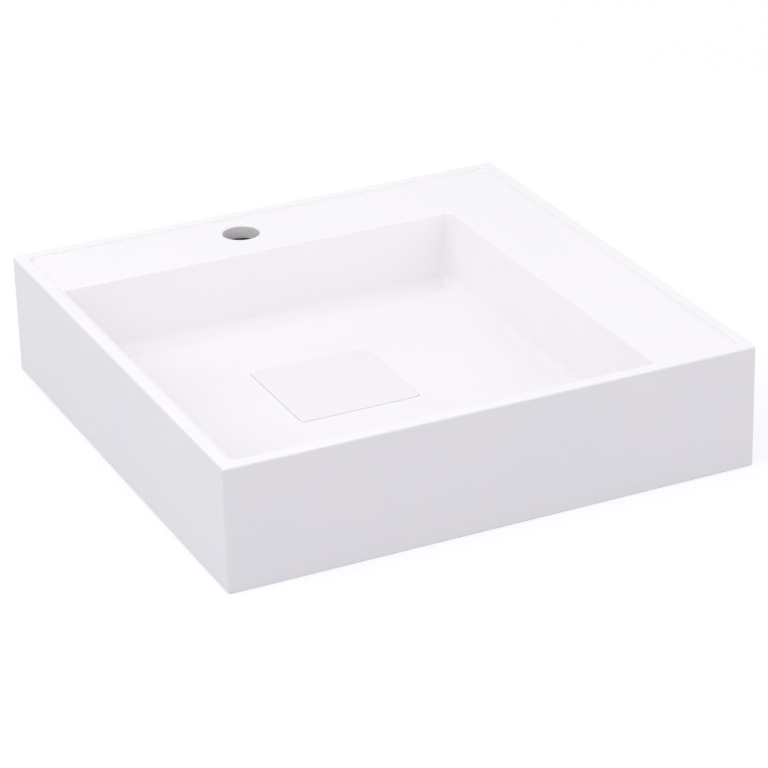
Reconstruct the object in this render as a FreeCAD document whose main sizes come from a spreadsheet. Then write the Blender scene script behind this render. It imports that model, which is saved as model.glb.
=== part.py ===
import FreeCAD, Part
import math
import os
import Sketcher

# A square wash basin cast in one piece, with a tap ledge behind the bowl and a shelf to its right,
# a square cover that lifts off the drain, and the waste fitting that is clamped through the floor.
# Millimetres. The origin is the middle of the base, +Z is up, the front faces -Y, the wall is at +Y.

doc = FreeCAD.newDocument("wash_basin")

SIZES = [
    # The cast block and its raised rim
    ("basin_width", 500),
    ("basin_depth", 500),
    ("basin_height", 115),
    ("corner_radius", 3),
    ("top_edge_radius", 2.2),
    ("base_edge_chamfer", 1),
    ("rim_width", 11),
    ("rim_height", 2.6),
    ("rim_corner_radius", 8),
    ("rim_edge_radius", 0.6),
    ("rim_cove_radius", 1),
    # The bowl
    ("bowl_margin", 5),
    ("rear_ledge", 93),
    ("right_ledge", 92),
    ("bowl_mouth_corner", 6),
    ("bowl_base_corner", 13),
    ("bowl_lip_radius", 1.8),
    ("bowl_wall_lean", 5),
    ("bowl_cove_radius", 12),
    ("floor_level", 39),
    ("floor_fall", 2),
    ("floor_flat_band", 14),
    # Wall thicknesses of the casting, hollow from below
    ("skirt_wall", 13),
    ("bowl_wall", 13),
    ("floor_wall", 13),
    ("deck_wall", 12.5),
    ("sump_wall", 11),
    ("sump_boss_margin", 12),
    # Holes for the tap and for the two wall bolts
    ("tap_hole", 35),
    ("tap_from_rear", 45),
    ("tap_hole_chamfer", 1),
    ("bolt_hole", 14),
    ("bolt_spacing", 280),
    ("bolt_height", 62),
    # The square drain cover and its feet
    ("drain_from_front", 250),
    ("cover_side", 116),
    ("cover_thickness", 5),
    ("cover_proud", 0.7),
    ("cover_corner_radius", 4),
    ("cover_edge_radius", 0.6),
    ("cover_slot", 0.4),
    ("foot_diameter", 12),
    ("foot_height", 3.5),
    ("foot_sunk", 1),
    ("foot_inset", 14),
    ("foot_edge_radius", 0.6),
    # The drain hole and the waste fitting
    ("drain_hole", 46),
    ("strainer_flange", 64),
    ("strainer_sheet", 1.5),
    ("strainer_cup", 44),
    ("strainer_cup_depth", 4),
    ("strainer_hole", 4.6),
    ("inner_ring", 20),
    ("inner_ring_holes", 8),
    ("outer_ring", 33),
    ("outer_ring_holes", 14),
    ("strainer_seal_thickness", 1),
    ("seal_land", 8),
    ("body_seal_thickness", 2.5),
    ("body_flange", 66),
    ("body_flange_thickness", 4),
    ("collar_wall", 2),
    ("collar_height", 6),
    ("outlet_thread", 41.9),
    ("outlet_bore", 34),
    ("outlet_above_base", 1.5),
    ("thread_pitch", 2.3),
    ("thread_depth", 1.2),
    ("thread_crest", 0.4),
    ("thread_turns", 4),
    ("cross_bar_width", 4),
    ("cross_bar_height", 8),
    ("cross_bar_embed", 1),
    ("hub_diameter", 14),
    ("hub_floor", 2),
    ("hub_gap", 4),
    ("insert_outside", 8),
    ("insert_length", 9),
    ("screw_thread", 6),
    ("screw_length", 14),
    ("screw_head", 12),
    ("screw_head_height", 3.4),
    ("screw_slot_width", 1.8),
    ("screw_slot_depth", 1.6),
    ("screw_tip_chamfer", 0.8),
    # Clearances
    ("seat_clearance", 1),
    ("fit_clearance", 0.3),
]

sheet = doc.addObject("Spreadsheet::Sheet", "sizes")
for row, (alias, number) in enumerate(SIZES, 1):
    sheet.set(f"A{row}", alias)
    sheet.set(f"B{row}", str(number))
    sheet.setAlias(f"B{row}", alias)
doc.recompute()

# Places worked out from the sizes, as expressions that the features are bound to.
HALF_WIDTH = "(sizes.basin_width / 2)"
HALF_DEPTH = "(sizes.basin_depth / 2)"
DECK_LEVEL = "(sizes.basin_height - sizes.rim_height)"
RIM_X = f"({HALF_WIDTH} - sizes.rim_width)"
RIM_Y = f"({HALF_DEPTH} - sizes.rim_width)"
BOWL_LEFT = f"(sizes.bowl_margin - {RIM_X})"
BOWL_RIGHT = f"({HALF_WIDTH} - sizes.right_ledge)"
BOWL_FRONT = f"(sizes.bowl_margin - {RIM_Y})"
BOWL_BACK = f"({HALF_DEPTH} - sizes.rear_ledge)"
BOWL_MIDDLE = f"(({BOWL_LEFT} + {BOWL_RIGHT}) / 2)"
FLOOR_EDGE = "(sizes.floor_level + sizes.floor_fall)"
SKIRT_X = f"({HALF_WIDTH} - sizes.skirt_wall)"
SKIRT_Y = f"({HALF_DEPTH} - sizes.skirt_wall)"
DRAIN_Y = f"(sizes.drain_from_front - {HALF_DEPTH})"
COVER_UNDERSIDE = "(sizes.floor_level + sizes.cover_proud - sizes.cover_thickness)"
SUMP_FLOOR = f"({COVER_UNDERSIDE} + sizes.foot_sunk - sizes.foot_height)"
SUMP_UNDERSIDE = f"({SUMP_FLOOR} - sizes.sump_wall)"
SUMP_HALF = "(sizes.cover_side / 2 + sizes.cover_slot)"
SUMP_CORNER = "(sizes.cover_corner_radius + sizes.cover_slot)"
SEAT_DEPTH = "(sizes.strainer_sheet + sizes.strainer_seal_thickness)"
SEAT_DIAMETER = "(sizes.strainer_flange + 2 * sizes.seat_clearance)"
BODY_TOP = f"({SUMP_UNDERSIDE} - sizes.body_seal_thickness)"
SCREW_SEAT = f"({SUMP_FLOOR} - sizes.strainer_cup_depth)"
INSERT_TOP = f"({SCREW_SEAT} - sizes.strainer_sheet - sizes.hub_gap)"
NEAR = 0.001


def value(expression):
    return float(sheet.evalExpression(expression))


def new_body(label, x=None, y=None, z=None):
    body = doc.addObject("PartDesign::Body", label)
    body.Label = label
    for axis, expression in (("x", x), ("y", y), ("z", z)):
        if expression:
            body.setExpression(f"Placement.Base.{axis}", expression)
    return body


def new_sketch(body, name, role="XY_Plane", level=None):
    plane = next(item for item in body.Origin.OriginFeatures if item.Role == role)
    sketch = body.newObject("Sketcher::SketchObject", name)
    sketch.AttachmentSupport = [(plane, "")]
    sketch.MapMode = "FlatFace"
    if level:
        sketch.setExpression("AttachmentOffset.Base.z", level)
    return sketch


def bind(sketch, kind, places, expression):
    index = sketch.addConstraint(Sketcher.Constraint(kind, *places, value(expression)))
    sketch.setExpression(f"Constraints[{index}]", expression)


def add_outline(sketch, corners):
    # A closed outline of straight lines; each corner is a pair of expressions.
    points = [FreeCAD.Vector(value(x), value(y), 0) for x, y in corners]
    count = len(points)
    lines = [Part.LineSegment(points[i], points[(i + 1) % count]) for i in range(count)]
    first = sketch.addGeometry(lines, False)[0]
    for i in range(count):
        sketch.addConstraint(Sketcher.Constraint("Coincident", first + i, 2, first + (i + 1) % count, 1))
    for i, (x, y) in enumerate(corners):
        bind(sketch, "DistanceX", (-1, 1, first + i, 1), x)
        bind(sketch, "DistanceY", (-1, 1, first + i, 1), y)


def add_rectangle(sketch, left, right, front, back):
    add_outline(sketch, [(left, front), (right, front), (right, back), (left, back)])


def add_rounded_rectangle(sketch, left, right, front, back, radius):
    x0, x1, y0, y1, r = (value(item) for item in (left, right, front, back, radius))
    ends = [((x0 + r, y0), (x1 - r, y0)), ((x1, y0 + r), (x1, y1 - r)),
            ((x1 - r, y1), (x0 + r, y1)), ((x0, y1 - r), (x0, y0 + r))]
    centres = [(x1 - r, y0 + r), (x1 - r, y1 - r), (x0 + r, y1 - r), (x0 + r, y0 + r)]
    geometry = []
    for quarter, (start, end) in enumerate(ends):
        geometry.append(Part.LineSegment(FreeCAD.Vector(*start, 0), FreeCAD.Vector(*end, 0)))
        circle = Part.Circle(FreeCAD.Vector(*centres[quarter], 0), FreeCAD.Vector(0, 0, 1), r)
        turn = (quarter - 1) * math.pi / 2
        geometry.append(Part.ArcOfCircle(circle, turn, turn + math.pi / 2))
    first = sketch.addGeometry(geometry, False)[0]
    for i in range(8):
        sketch.addConstraint(Sketcher.Constraint("Tangent", first + i, 2, first + (i + 1) % 8, 1))
    for line, direction in ((0, "Horizontal"), (2, "Vertical"), (4, "Horizontal"), (6, "Vertical")):
        sketch.addConstraint(Sketcher.Constraint(direction, first + line))
    for arc in (3, 5, 7):
        sketch.addConstraint(Sketcher.Constraint("Equal", first + 1, first + arc))
    bind(sketch, "Radius", (first + 1,), radius)
    bind(sketch, "DistanceY", (-1, 1, first, 1), front)
    bind(sketch, "DistanceX", (-1, 1, first + 2, 1), right)
    bind(sketch, "DistanceY", (-1, 1, first + 4, 1), back)
    bind(sketch, "DistanceX", (-1, 1, first + 6, 1), left)


def add_circle(sketch, x, y, diameter):
    centre = FreeCAD.Vector(value(x), value(y), 0)
    index = sketch.addGeometry(Part.Circle(centre, FreeCAD.Vector(0, 0, 1), value(diameter) / 2), False)
    bind(sketch, "DistanceX", (-1, 1, index, 3), x)
    bind(sketch, "DistanceY", (-1, 1, index, 3), y)
    bind(sketch, "Diameter", (index,), diameter)


def pad(body, name, sketch, length):
    feature = body.newObject("PartDesign::Pad", name)
    feature.Profile = sketch
    feature.setExpression("Length", length)
    doc.recompute()
    return feature


def check_cut(body, feature, before):
    doc.recompute()
    if not body.Shape.Volume < before - NEAR:
        raise RuntimeError(f"{body.Label}: {feature.Name} takes nothing away")
    return feature


def pocket(body, name, sketch, depth, towards_normal=False):
    doc.recompute()
    before = body.Shape.Volume
    feature = body.newObject("PartDesign::Pocket", name)
    feature.Profile = sketch
    feature.Reversed = towards_normal
    feature.setExpression("Length", depth)
    return check_cut(body, feature, before)


def cut_loft(body, name, upper, lower):
    doc.recompute()
    before = body.Shape.Volume
    feature = body.newObject("PartDesign::SubtractiveLoft", name)
    feature.Profile = upper
    feature.Sections = [lower]
    feature.Ruled = True
    return check_cut(body, feature, before)


def revolve(body, name, corners):
    # Turns an outline of (radius, height) corners about the body's own vertical axis.
    sketch = new_sketch(body, name + "Outline", "XZ_Plane")
    add_outline(sketch, corners)
    feature = body.newObject("PartDesign::Revolution", name)
    feature.Profile = sketch
    feature.ReferenceAxis = (sketch, ["V_Axis"])
    feature.Angle = 360
    doc.recompute()
    return feature


def ring(body, inside, outside, thickness):
    inner, outer = f"({inside}) / 2", f"({outside}) / 2"
    revolve(body, "Ring", [(inner, "0"), (outer, "0"), (outer, thickness), (inner, thickness)])


def round_pattern(body, name, feature, sketch, count):
    pattern = body.newObject("PartDesign::PolarPattern", name)
    pattern.Originals = [feature]
    pattern.Axis = (sketch, ["N_Axis"])
    pattern.Angle = 360
    pattern.setExpression("Occurrences", count)
    body.Tip = pattern
    doc.recompute()


def level_edges(feature, level, keep=lambda x, y: True):
    # Names the edges that lie flat at a level and whose middle is where keep says.
    names = []
    for index, edge in enumerate(feature.Shape.Edges, 1):
        box = edge.BoundBox
        if max(abs(box.ZMin - level), abs(box.ZMax - level)) < NEAR:
            middle = edge.valueAt((edge.FirstParameter + edge.LastParameter) / 2)
            if keep(middle.x, middle.y):
                names.append(f"Edge{index}")
    return names


def upright_edges(feature):
    names = []
    for index, edge in enumerate(feature.Shape.Edges, 1):
        box = edge.BoundBox
        if box.XLength < NEAR and box.YLength < NEAR:
            names.append(f"Edge{index}")
    return names


def fillet(body, name, base, edges, radius):
    feature = body.newObject("PartDesign::Fillet", name)
    feature.Base = (base, edges)
    feature.setExpression("Radius", radius)
    doc.recompute()
    return feature


def chamfer(body, name, base, edges, size):
    feature = body.newObject("PartDesign::Chamfer", name)
    feature.Base = (base, edges)
    feature.setExpression("Size", size)
    doc.recompute()
    return feature


def make_basin():
    body = new_body("basin_body")

    # The block, with softened upright corners
    sketch = new_sketch(body, "BlockOutline")
    add_rectangle(sketch, f"-{HALF_WIDTH}", HALF_WIDTH, f"-{HALF_DEPTH}", HALF_DEPTH)
    block = pad(body, "Block", sketch, "sizes.basin_height")
    fillet(body, "Corners", block, upright_edges(block), "sizes.corner_radius")

    # The deck lies a little below the raised rim and curves up into it
    sketch = new_sketch(body, "DeckOutline", level="sizes.basin_height")
    add_rounded_rectangle(sketch, f"-{RIM_X}", RIM_X, f"-{RIM_Y}", RIM_Y, "sizes.rim_corner_radius")
    deck = pocket(body, "Deck", sketch, "sizes.rim_height")
    fillet(body, "RimCove", deck, level_edges(deck, value(DECK_LEVEL)), "sizes.rim_cove_radius")

    # The bowl, whose four walls lean in towards the floor
    mouth = new_sketch(body, "BowlMouth", level=DECK_LEVEL)
    add_rounded_rectangle(mouth, BOWL_LEFT, BOWL_RIGHT, BOWL_FRONT, BOWL_BACK, "sizes.bowl_mouth_corner")
    base = new_sketch(body, "BowlBase", level=FLOOR_EDGE)
    lean = "sizes.bowl_wall_lean"
    add_rounded_rectangle(base, f"{BOWL_LEFT} + {lean}", f"{BOWL_RIGHT} - {lean}",
                          f"{BOWL_FRONT} + {lean}", f"{BOWL_BACK} - {lean}", "sizes.bowl_base_corner")
    bowl = cut_loft(body, "Bowl", mouth, base)
    cove = fillet(body, "BowlCove", bowl, level_edges(bowl, value(FLOOR_EDGE)), "sizes.bowl_cove_radius")

    # The lip of the bowl and both edges of the rim are rounded
    def in_bowl(x, y):
        return (value(BOWL_LEFT) - NEAR < x < value(BOWL_RIGHT) + NEAR
                and value(BOWL_FRONT) - NEAR < y < value(BOWL_BACK) + NEAR)

    def in_rim(x, y):
        return abs(x) < value(RIM_X) + NEAR and abs(y) < value(RIM_Y) + NEAR

    lip = fillet(body, "BowlLip", cove, level_edges(cove, value(DECK_LEVEL), in_bowl),
                 "sizes.bowl_lip_radius")
    rim_top = value("sizes.basin_height")
    inner = fillet(body, "RimInnerEdge", lip, level_edges(lip, rim_top, in_rim), "sizes.rim_edge_radius")
    outer_edges = level_edges(inner, rim_top, lambda x, y: not in_rim(x, y))
    outer = fillet(body, "TopEdge", inner, outer_edges, "sizes.top_edge_radius")
    chamfer(body, "BaseEdge", outer, level_edges(outer, 0), "sizes.base_edge_chamfer")

    # The floor falls from a flat band along the walls to the edge of the sump
    band = f"({lean} + sizes.floor_flat_band)"
    high = new_sketch(body, "FloorEdge", level=FLOOR_EDGE)
    add_rounded_rectangle(high, f"{BOWL_LEFT} + {band}", f"{BOWL_RIGHT} - {band}",
                          f"{BOWL_FRONT} + {band}", f"{BOWL_BACK} - {band}", "sizes.bowl_base_corner")
    low = new_sketch(body, "SumpEdge", level="sizes.floor_level")
    sump_box = (f"{BOWL_MIDDLE} - {SUMP_HALF}", f"{BOWL_MIDDLE} + {SUMP_HALF}",
                f"{DRAIN_Y} - {SUMP_HALF}", f"{DRAIN_Y} + {SUMP_HALF}")
    add_rounded_rectangle(low, *sump_box, SUMP_CORNER)
    cut_loft(body, "FloorFall", high, low)
    sketch = new_sketch(body, "SumpOutline", level="sizes.floor_level")
    add_rounded_rectangle(sketch, *sump_box, SUMP_CORNER)
    pocket(body, "Sump", sketch, f"sizes.floor_level - {SUMP_FLOOR}")

    # Below, the casting is hollow: under the bowl, round the sump's boss, and under both ledges
    sketch = new_sketch(body, "BossUnderside")
    add_rectangle(sketch, f"-{SKIRT_X}", SKIRT_X, f"-{SKIRT_Y}", SKIRT_Y)
    pocket(body, "BossHollow", sketch, SUMP_UNDERSIDE, towards_normal=True)
    sketch = new_sketch(body, "FloorUnderside")
    add_rectangle(sketch, f"-{SKIRT_X}", SKIRT_X, f"-{SKIRT_Y}", SKIRT_Y)
    boss = f"({SUMP_HALF} + sizes.sump_boss_margin)"
    boss_corner = f"({SUMP_CORNER} + sizes.sump_boss_margin)"
    add_rounded_rectangle(sketch, f"{BOWL_MIDDLE} - {boss}", f"{BOWL_MIDDLE} + {boss}",
                          f"{DRAIN_Y} - {boss}", f"{DRAIN_Y} + {boss}", boss_corner)
    pocket(body, "FloorHollow", sketch, "sizes.floor_level - sizes.floor_wall", towards_normal=True)
    deck_underside = f"{DECK_LEVEL} - sizes.deck_wall"
    sketch = new_sketch(body, "RearLedgeUnderside")
    add_rectangle(sketch, f"-{SKIRT_X}", SKIRT_X, f"{BOWL_BACK} + sizes.bowl_wall", SKIRT_Y)
    pocket(body, "RearLedgeHollow", sketch, deck_underside, towards_normal=True)
    sketch = new_sketch(body, "RightLedgeUnderside")
    add_rectangle(sketch, f"{BOWL_RIGHT} + sizes.bowl_wall", SKIRT_X, f"-{SKIRT_Y}", SKIRT_Y)
    pocket(body, "RightLedgeHollow", sketch, deck_underside, towards_normal=True)

    # The drain hole with the strainer's seat, then the tap hole
    sketch = new_sketch(body, "StrainerSeatOutline", level=SUMP_FLOOR)
    add_circle(sketch, BOWL_MIDDLE, DRAIN_Y, SEAT_DIAMETER)
    pocket(body, "StrainerSeat", sketch, SEAT_DEPTH)
    sketch = new_sketch(body, "DrainHoleOutline", level=SUMP_FLOOR)
    add_circle(sketch, BOWL_MIDDLE, DRAIN_Y, "sizes.drain_hole")
    pocket(body, "DrainHole", sketch, "sizes.sump_wall")
    sketch = new_sketch(body, "TapHoleOutline", level=DECK_LEVEL)
    tap_y = f"({HALF_DEPTH} - sizes.tap_from_rear)"
    add_circle(sketch, BOWL_MIDDLE, tap_y, "sizes.tap_hole")
    tap_hole = pocket(body, "TapHole", sketch, "sizes.deck_wall")

    def at_tap(x, y):
        return math.hypot(x - value(BOWL_MIDDLE), y - value(tap_y)) < value("sizes.tap_hole") / 2 + NEAR

    chamfer(body, "TapHoleEdge", tap_hole, level_edges(tap_hole, value(DECK_LEVEL), at_tap),
            "sizes.tap_hole_chamfer")

    # Two holes through the rear skirt for wall bolts
    sketch = new_sketch(body, "BoltHoleOutline", "XZ_Plane", f"-{HALF_DEPTH}")
    for side in ("-", ""):
        add_circle(sketch, f"{side}sizes.bolt_spacing / 2", "sizes.bolt_height", "sizes.bolt_hole")
    pocket(body, "BoltHoles", sketch, "sizes.skirt_wall", towards_normal=True)
    return body


FOOT_OFFSET = "(sizes.cover_side / 2 - sizes.foot_inset)"
FOOT_CORNERS = [("-", "-"), ("", "-"), ("", ""), ("-", "")]


def make_cover():
    # The plate stands proud of the floor inside the sump, with a slot for the water all round
    body = new_body("drain_cover", BOWL_MIDDLE, DRAIN_Y, COVER_UNDERSIDE)
    half = "(sizes.cover_side / 2)"
    sketch = new_sketch(body, "PlateOutline")
    add_rounded_rectangle(sketch, f"-{half}", half, f"-{half}", half, "sizes.cover_corner_radius")
    plate = pad(body, "Plate", sketch, "sizes.cover_thickness")
    edges = level_edges(plate, value("sizes.cover_thickness")) + level_edges(plate, 0)
    fillet(body, "PlateEdges", plate, edges, "sizes.cover_edge_radius")
    sketch = new_sketch(body, "FootSeatOutline")
    for x_side, y_side in FOOT_CORNERS:
        add_circle(sketch, f"{x_side}{FOOT_OFFSET}", f"{y_side}{FOOT_OFFSET}",
                   "sizes.foot_diameter + 2 * sizes.fit_clearance")
    pocket(body, "FootSeats", sketch, "sizes.foot_sunk", towards_normal=True)
    return body


def make_cover_feet():
    # Four pads set into the plate's underside, standing on the sump's floor
    feet = []
    for index, (x_side, y_side) in enumerate(FOOT_CORNERS, 1):
        disc = doc.addObject("Part::Cylinder", f"foot_disc_{index}")
        disc.setExpression("Radius", "sizes.foot_diameter / 2")
        disc.setExpression("Height", "sizes.foot_height")
        disc.setExpression("Placement.Base.x", f"{BOWL_MIDDLE} + {x_side}{FOOT_OFFSET}")
        disc.setExpression("Placement.Base.y", f"{DRAIN_Y} + {y_side}{FOOT_OFFSET}")
        disc.setExpression("Placement.Base.z", SUMP_FLOOR)
        doc.recompute()
        foot = doc.addObject("Part::Fillet", f"foot_{index}")
        foot.Base = disc
        radius = value("sizes.foot_edge_radius")
        bottom = level_edges(disc, value(SUMP_FLOOR))
        foot.Edges = [(int(name[4:]), radius, radius) for name in bottom]
        feet.append(foot)
    group = doc.addObject("Part::Compound", "cover_feet")
    group.Label = "cover_feet"
    group.Links = feet
    doc.recompute()
    return group


def make_strainer():
    # A pressed dish: a flange flush with the sump's floor and a perforated cup inside the drain hole
    body = new_body("waste_strainer", BOWL_MIDDLE, DRAIN_Y, SUMP_FLOOR)
    flange, cup = "sizes.strainer_flange / 2", "sizes.strainer_cup / 2"
    bore = "sizes.screw_thread / 2 + sizes.fit_clearance"
    cup_inside = f"{cup} - sizes.strainer_sheet"
    cup_top, cup_under = "-sizes.strainer_cup_depth", "-sizes.strainer_cup_depth - sizes.strainer_sheet"
    revolve(body, "Dish", [
        (bore, cup_under), (cup, cup_under), (cup, "-sizes.strainer_sheet"), (flange, "-sizes.strainer_sheet"),
        (flange, "0"), (cup_inside, "0"), (cup_inside, cup_top), (bore, cup_top)])
    for name, ring_size, count in (("Inner", "sizes.inner_ring", "sizes.inner_ring_holes"),
                                   ("Outer", "sizes.outer_ring", "sizes.outer_ring_holes")):
        sketch = new_sketch(body, f"{name}HoleOutline", level=cup_top)
        add_circle(sketch, f"{ring_size} / 2", "0", "sizes.strainer_hole")
        hole = pocket(body, f"{name}Hole", sketch, "sizes.strainer_sheet")
        round_pattern(body, f"{name}Ring", hole, sketch, count)
    return body


def make_strainer_seal():
    body = new_body("strainer_seal", BOWL_MIDDLE, DRAIN_Y, f"{SUMP_FLOOR} - {SEAT_DEPTH}")
    ring(body, "sizes.strainer_flange - 2 * sizes.seal_land", "sizes.strainer_flange",
         "sizes.strainer_seal_thickness")
    return body


def make_body_seal():
    body = new_body("body_seal", BOWL_MIDDLE, DRAIN_Y, BODY_TOP)
    ring(body, "sizes.body_flange - 2 * sizes.seal_land", "sizes.body_flange", "sizes.body_seal_thickness")
    return body


def make_waste_body():
    # A moulded body: a collar in the drain hole, a flange under the sump and a threaded outlet
    body = new_body("waste_body", BOWL_MIDDLE, DRAIN_Y, BODY_TOP)
    bore, outlet = "sizes.outlet_bore / 2", "sizes.outlet_thread / 2"
    collar = "sizes.drain_hole / 2 - sizes.fit_clearance"
    collar_inside = f"{collar} - sizes.collar_wall"
    collar_top = "sizes.collar_height"
    flange, flange_under = "sizes.body_flange / 2", "-sizes.body_flange_thickness"
    outlet_end = f"sizes.outlet_above_base - {BODY_TOP}"
    revolve(body, "Tube", [
        (bore, outlet_end), (f"{outlet} - sizes.thread_depth", outlet_end),
        (outlet, f"{outlet_end} + sizes.thread_depth"), (outlet, flange_under), (flange, flange_under),
        (flange, "0"), (collar, "0"), (collar, collar_top), (collar_inside, collar_top),
        (collar_inside, "0"), (bore, flange_under)])

    # Two crossed bars hold the hub in the middle of the outlet
    reach = f"({bore} + sizes.cross_bar_embed)"
    half_bar = "(sizes.cross_bar_width / 2)"
    hub_top = f"({INSERT_TOP} - {BODY_TOP})"
    hub_under = f"({hub_top} - sizes.insert_length - sizes.hub_floor)"
    for name, half_x, half_y in (("CrossBarX", reach, half_bar), ("CrossBarY", half_bar, reach)):
        sketch = new_sketch(body, f"{name}Outline", level=hub_under)
        add_rectangle(sketch, f"-{half_x}", half_x, f"-{half_y}", half_y)
        pad(body, name, sketch, "sizes.cross_bar_height")
    sketch = new_sketch(body, "HubOutline", level=hub_under)
    add_circle(sketch, "0", "0", "sizes.hub_diameter")
    pad(body, "Hub", sketch, f"{hub_top} - {hub_under}")
    sketch = new_sketch(body, "InsertSeatOutline", level=hub_top)
    add_circle(sketch, "0", "0", "sizes.insert_outside + 2 * sizes.fit_clearance")
    pocket(body, "InsertSeat", sketch, "sizes.insert_length")

    # The outlet's thread, as rings of its pitch and depth
    sketch = new_sketch(body, "ThreadOutline", "XZ_Plane")
    valley = f"({outlet_end} + sizes.thread_depth + sizes.thread_pitch)"
    spread = "(sizes.thread_pitch - sizes.thread_crest)"
    add_outline(sketch, [(f"{outlet} - sizes.thread_depth", valley),
                         (f"{outlet} + sizes.thread_depth", f"{valley} - {spread}"),
                         (f"{outlet} + sizes.thread_depth", f"{valley} + {spread}")])
    before = body.Shape.Volume
    groove = body.newObject("PartDesign::Groove", "ThreadValley")
    groove.Profile = sketch
    groove.ReferenceAxis = (sketch, ["V_Axis"])
    groove.Angle = 360
    check_cut(body, groove, before)
    thread = body.newObject("PartDesign::LinearPattern", "Thread")
    thread.Originals = [groove]
    thread.Direction = (sketch, ["V_Axis"])
    thread.setExpression("Length", "sizes.thread_pitch * (sizes.thread_turns - 1)")
    thread.setExpression("Occurrences", "sizes.thread_turns")
    body.Tip = thread
    doc.recompute()
    return body


def make_screw_insert():
    body = new_body("screw_insert", BOWL_MIDDLE, DRAIN_Y, f"{INSERT_TOP} - sizes.insert_length")
    ring(body, "sizes.screw_thread + 2 * sizes.fit_clearance", "sizes.insert_outside", "sizes.insert_length")
    return body


def make_clamp_screw():
    # A pan-head screw on the strainer's cup, down into the insert
    body = new_body("clamp_screw", BOWL_MIDDLE, DRAIN_Y, SCREW_SEAT)
    head, shank = "sizes.screw_head / 2", "sizes.screw_thread / 2"
    head_top, tip, bevel = "sizes.screw_head_height", "-sizes.screw_length", "sizes.screw_tip_chamfer"
    revolve(body, "Turned", [
        ("0", tip), (f"{shank} - {bevel}", tip), (shank, f"{tip} + {bevel}"), (shank, "0"), (head, "0"),
        (head, f"{head_top} - {bevel}"), (f"{head} - {bevel}", head_top), ("0", head_top)])
    sketch = new_sketch(body, "SlotOutline", level=head_top)
    half_slot = "(sizes.screw_slot_width / 2)"
    add_rectangle(sketch, f"-{head}", head, f"-{half_slot}", half_slot)
    pocket(body, "Slot", sketch, "sizes.screw_slot_depth")
    return body


pieces = [make_basin(), make_cover(), make_cover_feet(), make_strainer(), make_strainer_seal(),
          make_waste_body(), make_body_seal(), make_screw_insert(), make_clamp_screw()]
doc.recompute()

# Nothing is written unless every feature was made and every piece is whole.
for item in doc.Objects:
    if "Invalid" in item.State or "Error" in item.State:
        raise RuntimeError(f"{item.Label} failed: {item.State}")
for piece in pieces:
    if piece.Shape.isNull() or not piece.Shape.isValid():
        raise RuntimeError(f"{piece.Label} is not a valid solid")

os.makedirs("parts", exist_ok=True)
for piece in pieces:
    piece.Shape.exportStep(f"parts/{piece.Label}.step")
    box = piece.Shape.BoundBox
    print(f"{piece.Label}: {len(piece.Shape.Solids)} solid, {piece.Shape.Volume / 1000:.1f} cm3, "
          f"z {box.ZMin:.2f} to {box.ZMax:.2f}")
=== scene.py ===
import math

import bmesh
import bpy
from mathutils import Matrix, Vector
from mathutils.bvhtree import BVHTree


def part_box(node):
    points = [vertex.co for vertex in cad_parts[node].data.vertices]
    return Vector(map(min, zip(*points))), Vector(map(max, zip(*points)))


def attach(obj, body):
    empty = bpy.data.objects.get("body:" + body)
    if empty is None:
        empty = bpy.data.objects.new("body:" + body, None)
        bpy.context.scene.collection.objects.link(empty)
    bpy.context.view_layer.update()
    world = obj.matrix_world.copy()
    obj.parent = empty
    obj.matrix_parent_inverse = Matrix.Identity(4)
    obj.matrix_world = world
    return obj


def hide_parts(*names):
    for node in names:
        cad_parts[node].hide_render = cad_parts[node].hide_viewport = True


# A white cast wash basin with a lift-off drain cover, on a pale studio floor. Metres, as in the CAD.
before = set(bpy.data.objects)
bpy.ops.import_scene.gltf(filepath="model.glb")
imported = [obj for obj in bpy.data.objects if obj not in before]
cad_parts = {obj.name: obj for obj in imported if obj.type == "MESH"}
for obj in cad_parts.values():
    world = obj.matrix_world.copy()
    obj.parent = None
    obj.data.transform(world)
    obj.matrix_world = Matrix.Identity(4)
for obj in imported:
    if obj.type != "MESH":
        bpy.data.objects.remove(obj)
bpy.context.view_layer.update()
scene = bpy.context.scene
mm = 0.001
noiseSpan = (0.3, 0.7)            # most of a noise texture's values lie between these


def linearColour(hexCode):
    channels = [int(hexCode[i:i + 2], 16) / 255 for i in (0, 2, 4)]
    return [c / 12.92 if c <= 0.04045 else ((c + 0.055) / 1.055) ** 2.4 for c in channels] + [1.0]


def addNode(tree, kind, inputs=None, **settings):
    node = tree.nodes.new(kind)
    for name, setting in settings.items():
        setattr(node, name, setting)
    for name, feed in (inputs or {}).items():
        if isinstance(feed, bpy.types.NodeSocket):
            tree.links.new(feed, node.inputs[name])
        else:
            node.inputs[name].default_value = feed
    return node


def startMaterial(name):
    material = bpy.data.materials.new(name)
    material.use_nodes = True
    tree = material.node_tree
    tree.nodes.clear()
    place = addNode(tree, "ShaderNodeTexCoord").outputs["Object"]
    return material, tree, place


def perMetre(sizeMm):
    return 1000 / sizeMm          # a texture scale whose features are about this size


def freezeModifiers(piece):
    # the shape that the modifiers give becomes a plain mesh
    settled = piece.evaluated_get(bpy.context.evaluated_depsgraph_get())
    finished = bpy.data.meshes.new_from_object(settled)
    piece.modifiers.clear()
    piece.data = finished
    finished.name = piece.name


# Gel coat sprayed in a polished mould, over mineral casting: hard gloss, faintly cool white,
# with the long shallow waves and fine orange peel that bend its reflections.
gelCoat = {"name": "gelCoatedMineralCast", "white": "faf7fa", "cloud": "f6f4f8", "cloudMm": 90,
           "gloss": (0.14, 0.22), "smearMm": 35, "waveMm": 55, "waveDepthMm": 0.025, "peelMm": 4,
           "peelDepthMm": 0.0012, "ior": 1.52}
# The cover is cast by itself, and its coat is given a shade greyer.
coverCoat = dict(gelCoat, name="gelCoatedCoverCast", white="f6f3f6", cloud="f2f0f4")


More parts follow.
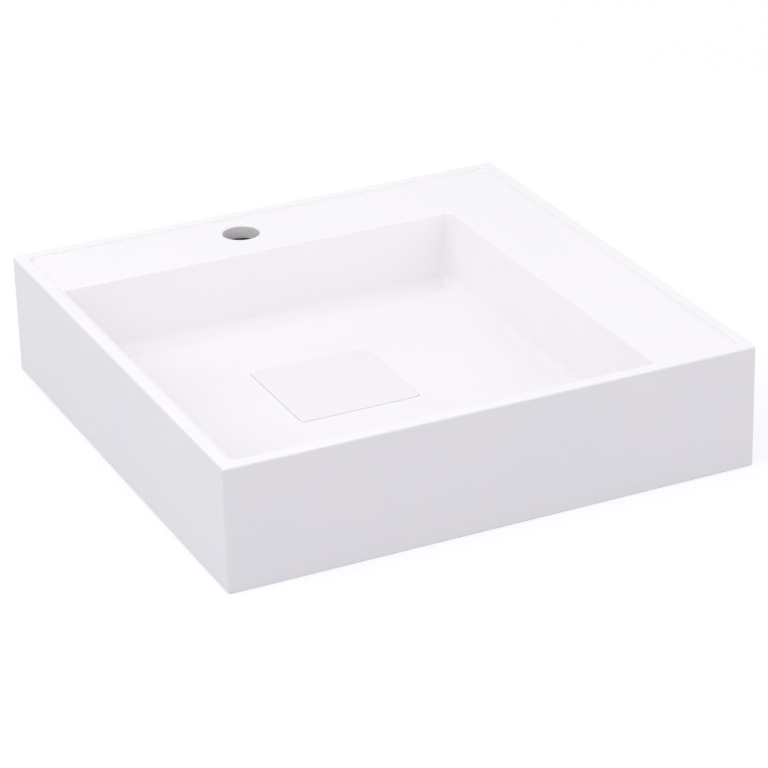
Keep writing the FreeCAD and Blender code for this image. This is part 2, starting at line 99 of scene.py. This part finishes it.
def makeGelCoat(coat):
    material, tree, place = startMaterial(coat["name"])
    cloud = addNode(tree, "ShaderNodeTexNoise", {
        "Vector": place, "Scale": perMetre(coat["cloudMm"]), "Detail": 3})
    colour = addNode(tree, "ShaderNodeMix", {
        "Factor": cloud.outputs[0], "A": linearColour(coat["white"]), "B": linearColour(coat["cloud"])},
        data_type="RGBA")
    smear = addNode(tree, "ShaderNodeTexNoise", {
        "Vector": place, "Scale": perMetre(coat["smearMm"]), "Detail": 4})
    gloss = addNode(tree, "ShaderNodeMapRange", {
        "Value": smear.outputs[0], "From Min": noiseSpan[0], "From Max": noiseSpan[1],
        "To Min": coat["gloss"][0], "To Max": coat["gloss"][1]})
    wave = addNode(tree, "ShaderNodeTexNoise", {
        "Vector": place, "Scale": perMetre(coat["waveMm"]), "Detail": 1})
    peel = addNode(tree, "ShaderNodeTexNoise", {
        "Vector": place, "Scale": perMetre(coat["peelMm"]), "Detail": 2})
    waved = addNode(tree, "ShaderNodeBump", {
        "Height": wave.outputs[0], "Distance": coat["waveDepthMm"] * mm})
    peeled = addNode(tree, "ShaderNodeBump", {
        "Height": peel.outputs[0], "Distance": coat["peelDepthMm"] * mm, "Normal": waved.outputs[0]})
    shader = addNode(tree, "ShaderNodeBsdfPrincipled", {
        "Base Color": colour.outputs["Result"], "Roughness": gloss.outputs[0], "IOR": coat["ior"],
        "Normal": peeled.outputs[0]})
    addNode(tree, "ShaderNodeOutputMaterial", {"Surface": shader.outputs[0]})
    return material


# The back of the casting, as it left the open side of the mould: matt, greyer, with swirls and pores, the
# pores darkened with painted shade.
rawCast = {"resin": "ebe8eb", "filler": "e1dee1", "swirlMm": 60, "swirlBend": 1.5, "poreShade": "c6c3c6",
           "poreMm": 5, "poreEdge": (0.08, 0.2), "poreDepthMm": 0.3, "gloss": 0.75, "ior": 1.5}


def makeRawCast():
    material, tree, place = startMaterial("rawMineralCast")
    swirl = addNode(tree, "ShaderNodeTexNoise", {
        "Vector": place, "Scale": perMetre(rawCast["swirlMm"]), "Detail": 6,
        "Distortion": rawCast["swirlBend"]})
    body = addNode(tree, "ShaderNodeMix", {
        "Factor": swirl.outputs[0], "A": linearColour(rawCast["resin"]),
        "B": linearColour(rawCast["filler"])}, data_type="RGBA")
    cells = addNode(tree, "ShaderNodeTexVoronoi", {"Vector": place, "Scale": perMetre(rawCast["poreMm"])})
    pores = addNode(tree, "ShaderNodeMapRange", {
        "Value": cells.outputs["Distance"], "From Min": rawCast["poreEdge"][0],
        "From Max": rawCast["poreEdge"][1], "To Min": 1.0, "To Max": 0.0})
    # painted shade: the pores are coloured darker, as if shade falls in them; the bump below dents them as
    # real pits
    colour = addNode(tree, "ShaderNodeMix", {
        "Factor": pores.outputs[0], "A": body.outputs["Result"], "B": linearColour(rawCast["poreShade"])},
        data_type="RGBA")
    pitted = addNode(tree, "ShaderNodeBump", {
        "Height": pores.outputs[0], "Distance": rawCast["poreDepthMm"] * mm}, invert=True)
    shader = addNode(tree, "ShaderNodeBsdfPrincipled", {
        "Base Color": colour.outputs["Result"], "Roughness": rawCast["gloss"], "IOR": rawCast["ior"],
        "Normal": pitted.outputs[0]})
    addNode(tree, "ShaderNodeOutputMaterial", {"Surface": shader.outputs[0]})
    return material


smoothing = {"mergeMm": 0.001, "flatWeight": 100}


def smoothCopy(nodeName, pieceName, creaseDegrees):
    # the frame's loose triangles, merged and shaded smooth across the rounded edges only
    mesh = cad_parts[nodeName].data.copy()
    mesh.name = pieceName
    mesh.materials.clear()
    shape = bmesh.new()
    shape.from_mesh(mesh)
    bmesh.ops.remove_doubles(shape, verts=shape.verts, dist=smoothing["mergeMm"] * mm)
    shape.to_mesh(mesh)
    shape.free()
    if "custom_normal" in mesh.attributes:
        mesh.attributes.remove(mesh.attributes["custom_normal"])
    for face in mesh.polygons:
        face.use_smooth = True
    mesh.set_sharp_from_angle(angle=math.radians(creaseDegrees))
    piece = bpy.data.objects.new(pieceName, mesh)
    scene.collection.objects.link(piece)
    keepFlats = piece.modifiers.new("keepFlats", "WEIGHTED_NORMAL")
    keepFlats.mode = "FACE_AREA"
    keepFlats.weight = smoothing["flatWeight"]
    keepFlats.keep_sharp = True
    freezeModifiers(piece)
    return piece


def dressNode(nodeName, pieceName, bodyName, slotName, creaseDegrees, *materials):
    piece = smoothCopy(nodeName, pieceName, creaseDegrees)
    for material in materials:
        piece.data.materials.append(material)
    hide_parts(nodeName)
    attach(piece, bodyName)
    return piece


# The casting: gel coat wherever the mould shaped it, bare casting in the hollow under it
basin = {"creaseDegrees": 32, "rawMarginMm": 2, "liftOffMm": 0.2}


def hollowFaces(mesh):
    # faces with nothing of the casting straight below them, apart from the outer skin
    shape = bmesh.new()
    shape.from_mesh(mesh)
    tree = BVHTree.FromBMesh(shape)
    low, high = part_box("basin_body")
    margin = basin["rawMarginMm"] * mm
    found = []
    for face in shape.faces:
        middle = face.calc_center_median()
        inner = all(low[axis] + margin < middle[axis] < high[axis] - margin for axis in (0, 1))
        start = middle + face.normal * basin["liftOffMm"] * mm
        if inner and tree.ray_cast(start, Vector((0, 0, -1)))[0] is None:
            found.append(face.index)
    shape.free()
    return found


basinPiece = dressNode("basin_body", "basinCasting", "basin", "cast_mineral", basin["creaseDegrees"],
                       makeGelCoat(gelCoat), makeRawCast())
for index in hollowFaces(basinPiece.data):
    basinPiece.data.polygons[index].material_index = 1
dressNode("drain_cover", "drainCover", "cover", "cast_mineral", basin["creaseDegrees"],
          makeGelCoat(coverCoat))
print("casting and cover dressed:", len(basinPiece.data.polygons), "faces")


# Stainless sheet pressed into a dish and brushed in circles: cool grey metal, fine rings in its highlights.
# Real brush lines are about 0.05 mm wide; here they are coarser, so that they show.
stainless = {"name": "brushedStainlessSheet", "light": "c9c9cb", "dark": "b3b3b6", "lineMm": 0.4,
             "gloss": (0.2, 0.36), "scratchDepthMm": 0.004}
# Brass turned on a lathe: warm yellow metal with fine tool rings.
brass = {"name": "turnedBrass", "light": "d2b06a", "dark": "b8934f", "lineMm": 0.3,
         "gloss": (0.18, 0.3), "scratchDepthMm": 0.004}


def makeRingedMetal(metal, middle):
    material, tree, place = startMaterial(metal["name"])
    centred = addNode(tree, "ShaderNodeMapping", {"Vector": place, "Location": (-middle.x, -middle.y, 0)})
    flat = addNode(tree, "ShaderNodeVectorMath", {0: centred.outputs[0], 1: (1, 1, 0)}, operation="MULTIPLY")
    radius = addNode(tree, "ShaderNodeVectorMath", {0: flat.outputs[0]}, operation="LENGTH")
    rings = addNode(tree, "ShaderNodeTexNoise", {
        "W": radius.outputs["Value"], "Scale": perMetre(metal["lineMm"]), "Detail": 3},
        noise_dimensions="1D")
    colour = addNode(tree, "ShaderNodeMix", {
        "Factor": rings.outputs[0], "A": linearColour(metal["light"]), "B": linearColour(metal["dark"])},
        data_type="RGBA")
    gloss = addNode(tree, "ShaderNodeMapRange", {
        "Value": rings.outputs[0], "From Min": noiseSpan[0], "From Max": noiseSpan[1],
        "To Min": metal["gloss"][0], "To Max": metal["gloss"][1]})
    scratched = addNode(tree, "ShaderNodeBump", {
        "Height": rings.outputs[0], "Distance": metal["scratchDepthMm"] * mm})
    shader = addNode(tree, "ShaderNodeBsdfPrincipled", {
        "Base Color": colour.outputs["Result"], "Metallic": 1.0, "Roughness": gloss.outputs[0],
        "Normal": scratched.outputs[0]})
    addNode(tree, "ShaderNodeOutputMaterial", {"Surface": shader.outputs[0]})
    return material


# Polypropylene moulded in a spark-eroded tool: off-white, soft sheen, an even fine grain.
polypropylene = {"name": "mouldedPolypropylene", "main": "e4e3df", "patch": "dad9d4", "patchMm": 18,
                 "grainMm": 0.9, "grainDepthMm": 0.02, "gloss": (0.42, 0.55), "ior": 1.49}
# Black rubber moulded in a matt tool: dull, with a pale bloom in patches.
rubber = {"name": "mouldedRubber", "main": "19191b", "patch": "2d2d30", "patchMm": 7,
          "grainMm": 0.6, "grainDepthMm": 0.012, "gloss": (0.55, 0.75), "ior": 1.52}


def makeGrained(moulding):
    material, tree, place = startMaterial(moulding["name"])
    patch = addNode(tree, "ShaderNodeTexNoise", {
        "Vector": place, "Scale": perMetre(moulding["patchMm"]), "Detail": 4})
    colour = addNode(tree, "ShaderNodeMix", {
        "Factor": patch.outputs[0], "A": linearColour(moulding["main"]),
        "B": linearColour(moulding["patch"])}, data_type="RGBA")
    gloss = addNode(tree, "ShaderNodeMapRange", {
        "Value": patch.outputs[0], "From Min": noiseSpan[0], "From Max": noiseSpan[1],
        "To Min": moulding["gloss"][0], "To Max": moulding["gloss"][1]})
    pits = addNode(tree, "ShaderNodeTexNoise", {
        "Vector": place, "Scale": perMetre(moulding["grainMm"]), "Detail": 2})
    grained = addNode(tree, "ShaderNodeBump", {
        "Height": pits.outputs[0], "Distance": moulding["grainDepthMm"] * mm})
    shader = addNode(tree, "ShaderNodeBsdfPrincipled", {
        "Base Color": colour.outputs["Result"], "Roughness": gloss.outputs[0], "IOR": moulding["ior"],
        "Normal": grained.outputs[0]})
    addNode(tree, "ShaderNodeOutputMaterial", {"Surface": shader.outputs[0]})
    return material


# Clear-grey silicone pads, moulded: milky, light goes a little way in, and dust dulls them in spots.
silicone = {"milk": "d6dadc", "dust": "c3c6c7", "dustMm": 2.5, "gloss": (0.35, 0.55), "milkiness": 0.5,
            "depthMm": 2, "ior": 1.41}


def makeSilicone():
    material, tree, place = startMaterial("mouldedSilicone")
    dust = addNode(tree, "ShaderNodeTexNoise", {
        "Vector": place, "Scale": perMetre(silicone["dustMm"]), "Detail": 5})
    colour = addNode(tree, "ShaderNodeMix", {
        "Factor": dust.outputs[0], "A": linearColour(silicone["milk"]), "B": linearColour(silicone["dust"])},
        data_type="RGBA")
    gloss = addNode(tree, "ShaderNodeMapRange", {
        "Value": dust.outputs[0], "From Min": noiseSpan[0], "From Max": noiseSpan[1],
        "To Min": silicone["gloss"][0], "To Max": silicone["gloss"][1]})
    shader = addNode(tree, "ShaderNodeBsdfPrincipled", {
        "Base Color": colour.outputs["Result"], "Roughness": gloss.outputs[0], "IOR": silicone["ior"],
        "Subsurface Weight": silicone["milkiness"], "Subsurface Radius": (1, 1, 1),
        "Subsurface Scale": silicone["depthMm"] * mm})
    addNode(tree, "ShaderNodeOutputMaterial", {"Surface": shader.outputs[0]})
    return material


# The waste fitting under the cover, and the cover's feet
fitting = {"creaseDegrees": 30}
coverLow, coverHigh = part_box("drain_cover")
drainMiddle = (coverLow + coverHigh) / 2
steelMaterial = makeRingedMetal(stainless, drainMiddle)
brassMaterial = makeRingedMetal(brass, drainMiddle)
rubberMaterial = makeGrained(rubber)
plasticMaterial = makeGrained(polypropylene)
dressNode("cover_feet", "coverFeet", "cover", "silicone", fitting["creaseDegrees"], makeSilicone())
dressNode("waste_strainer", "strainerDish", "basin", "stainless", fitting["creaseDegrees"], steelMaterial)
dressNode("clamp_screw", "clampScrew", "basin", "stainless", fitting["creaseDegrees"], steelMaterial)
dressNode("strainer_seal", "strainerSeal", "basin", "seal_rubber", fitting["creaseDegrees"], rubberMaterial)
dressNode("body_seal", "bodySeal", "basin", "seal_rubber", fitting["creaseDegrees"], rubberMaterial)
dressNode("waste_body", "wasteBody", "basin", "polypropylene", fitting["creaseDegrees"], plasticMaterial)
dressNode("screw_insert", "screwInsert", "basin", "brass", fitting["creaseDegrees"], brassMaterial)
print("waste fitting and feet dressed")


# Each perforation of the strainer has a rolled edge, a bead that stands a little above the sheet.
perforations = {"innerRing": 10 * mm, "innerHoles": 8, "outerRing": 16.5 * mm, "outerHoles": 14,
                "hole": 2.3 * mm, "bead": 0.28 * mm, "cupDepth": 4 * mm, "stepsAround": 28, "beadSteps": 8}


def makePerforationTree():
    tree = bpy.data.node_groups.new("perforationBeads", "GeometryNodeTree")
    inputs = {"innerRing": "Float", "innerHoles": "Int", "outerRing": "Float", "outerHoles": "Int",
              "hole": "Float", "bead": "Float", "middle": "Vector"}
    for name, kind in inputs.items():
        tree.interface.new_socket(name=name, in_out="INPUT", socket_type="NodeSocket" + kind)
    tree.interface.new_socket(name="Geometry", in_out="OUTPUT", socket_type="NodeSocketGeometry")
    given = addNode(tree, "NodeGroupInput").outputs
    reach = addNode(tree, "ShaderNodeMath", {0: given["hole"], 1: given["bead"]}, operation="ADD")
    path = addNode(tree, "GeometryNodeCurvePrimitiveCircle", {
        "Resolution": perforations["stepsAround"], "Radius": reach.outputs[0]})
    section = addNode(tree, "GeometryNodeCurvePrimitiveCircle", {
        "Resolution": perforations["beadSteps"], "Radius": given["bead"]})
    bead = addNode(tree, "GeometryNodeCurveToMesh", {
        "Curve": path.outputs[0], "Profile Curve": section.outputs[0]})
    places = addNode(tree, "GeometryNodeJoinGeometry")
    for count, ring in (("innerHoles", "innerRing"), ("outerHoles", "outerRing")):
        circle = addNode(tree, "GeometryNodeMeshCircle", {"Vertices": given[count], "Radius": given[ring]})
        tree.links.new(circle.outputs[0], places.inputs[0])
    beads = addNode(tree, "GeometryNodeInstanceOnPoints", {
        "Points": places.outputs[0], "Instance": bead.outputs[0]})
    moved = addNode(tree, "GeometryNodeTransform", {
        "Geometry": beads.outputs[0], "Translation": given["middle"]})
    real = addNode(tree, "GeometryNodeRealizeInstances", {0: moved.outputs[0]})
    smooth = addNode(tree, "GeometryNodeSetShadeSmooth", {"Geometry": real.outputs[0]})
    coated = addNode(tree, "GeometryNodeSetMaterial", {
        "Geometry": smooth.outputs[0], "Material": steelMaterial})
    addNode(tree, "NodeGroupOutput", {"Geometry": coated.outputs[0]})
    return tree


def growPiece(pieceName, tree, sizes):
    piece = bpy.data.objects.new(pieceName, bpy.data.meshes.new(pieceName))
    scene.collection.objects.link(piece)
    grower = piece.modifiers.new("grow", "NODES")
    grower.node_group = tree
    for socket in tree.interface.items_tree:
        if socket.in_out == "INPUT":
            grower[socket.identifier] = sizes[socket.name]
    freezeModifiers(piece)
    return piece


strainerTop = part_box("waste_strainer")[1].z
cupMiddle = (drainMiddle.x, drainMiddle.y, strainerTop - perforations["cupDepth"])
beadPiece = growPiece("strainerBeads", makePerforationTree(), dict(perforations, middle=cupMiddle))
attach(beadPiece, "basin")
print("strainer perforations edged:", len(beadPiece.data.polygons), "faces")

# Studio: pale floor that fades to white, white surroundings for the lens and for reflections
studio = {"floorSize": 30, "floorGrey": "b0b0b8", "white": "ffffff", "nearLift": 0.6, "farLift": 0.72,
          "fadeFrom": 1.0, "fadeTo": 4.0, "ambient": 0.71, "surround": 1.0}


def seenDirectly(tree):
    # 1 for what the lens sees, straight, mirrored or through glass, and 0 for light that falls on the basin
    path = addNode(tree, "ShaderNodeLightPath")
    mirrored = addNode(tree, "ShaderNodeMath", {
        0: path.outputs["Is Camera Ray"], 1: path.outputs["Is Glossy Ray"]}, operation="MAXIMUM")
    seen = addNode(tree, "ShaderNodeMath", {
        0: mirrored.outputs[0], 1: path.outputs["Is Transmission Ray"]}, operation="MAXIMUM")
    return seen.outputs[0]


def makeFloor():
    mesh = bpy.data.meshes.new("floor")
    half = studio["floorSize"] / 2
    corners = [(-half, -half, 0), (half, -half, 0), (half, half, 0), (-half, half, 0)]
    mesh.from_pydata(corners, [], [(0, 1, 2, 3)])
    floor = bpy.data.objects.new("floor", mesh)
    scene.collection.objects.link(floor)
    material, tree, place = startMaterial("paleStudioFloor")
    matt = addNode(tree, "ShaderNodeBsdfDiffuse", {"Color": linearColour(studio["floorGrey"])})
    reach = addNode(tree, "ShaderNodeVectorMath", {0: place}, operation="LENGTH")
    lift = addNode(tree, "ShaderNodeMapRange", {
        "Value": reach.outputs["Value"], "From Min": studio["fadeFrom"], "From Max": studio["fadeTo"],
        "To Min": studio["nearLift"], "To Max": studio["farLift"]})
    glow = addNode(tree, "ShaderNodeEmission", {
        "Color": linearColour(studio["white"]), "Strength": lift.outputs[0]})
    lifted = addNode(tree, "ShaderNodeAddShader", {0: matt.outputs[0], 1: glow.outputs[0]})
    shader = addNode(tree, "ShaderNodeMixShader", {
        0: seenDirectly(tree), 1: matt.outputs[0], 2: lifted.outputs[0]})
    addNode(tree, "ShaderNodeOutputMaterial", {"Surface": shader.outputs[0]})
    mesh.materials.append(material)


def makeWorld():
    world = bpy.data.worlds.new("studio")
    scene.world = world
    world.use_nodes = True
    tree = world.node_tree
    tree.nodes.clear()
    strength = addNode(tree, "ShaderNodeMapRange", {
        "Value": seenDirectly(tree), "To Min": studio["ambient"], "To Max": studio["surround"]})
    sky = addNode(tree, "ShaderNodeBackground", {
        "Color": linearColour(studio["white"]), "Strength": strength.outputs[0]})
    addNode(tree, "ShaderNodeOutputWorld", {"Surface": sky.outputs[0]})


# Big soft lamps: metres and watts. The two low ones in front only fill, without glare on the glossy deck.
lamps = {
    "overhead": {"place": (-0.2, 0.0, 2.6), "aimHeight": 0.1, "size": 3.2, "power": 8.2, "glare": True},
    "leftHigh": {"place": (-2.1, -0.2, 2.2), "aimHeight": 0.06, "size": 2.4, "power": 23.5, "glare": True},
    "frontFill": {"place": (0.9, -2.8, 1.2), "aimHeight": 0.06, "size": 2.4, "power": 13.8, "glare": False},
    "frontRight": {"place": (2.4, -2.2, 1.6), "aimHeight": 0.06, "size": 2.4, "power": 4.6, "glare": False},
}


def makeLamp(name, lamp):
    data = bpy.data.lights.new(name, "AREA")
    data.shape = "SQUARE"
    data.size = lamp["size"]
    data.energy = lamp["power"]
    lightObject = bpy.data.objects.new(name, data)
    scene.collection.objects.link(lightObject)
    aim = Vector((0, 0, lamp["aimHeight"])) - Vector(lamp["place"])
    turn = aim.to_track_quat("-Z", "Y").to_matrix().to_4x4()
    lightObject.matrix_world = Matrix.Translation(lamp["place"]) @ turn
    lightObject.visible_glossy = lamp["glare"]


# The photograph's lens, fitted to the block's corners: metres and degrees
lens = {"place": (-1.107, -2.3993, 1.2741), "yaw": 24.99, "pitch": 25.2, "roll": -1.45,
        "focalMm": 151, "sensorMm": 36, "clipEnd": 50}


def makeCamera():
    data = bpy.data.cameras.new("studioCamera")
    data.lens = lens["focalMm"]
    data.sensor_width = lens["sensorMm"]
    data.clip_end = lens["clipEnd"]
    camera = bpy.data.objects.new("studioCamera", data)
    scene.collection.objects.link(camera)
    turn = Matrix.Rotation(math.radians(-lens["yaw"]), 4, "Z")
    tilt = Matrix.Rotation(math.radians(90 - lens["pitch"]), 4, "X")
    roll = Matrix.Rotation(math.radians(lens["roll"]), 4, "Z")
    camera.matrix_world = Matrix.Translation(lens["place"]) @ turn @ tilt @ roll
    scene.camera = camera


makeFloor()
makeWorld()
for lampName, lampFacts in lamps.items():
    makeLamp(lampName, lampFacts)
makeCamera()
scene.view_settings.view_transform = "Standard"
print("studio lit by", len(lamps), "lamps")
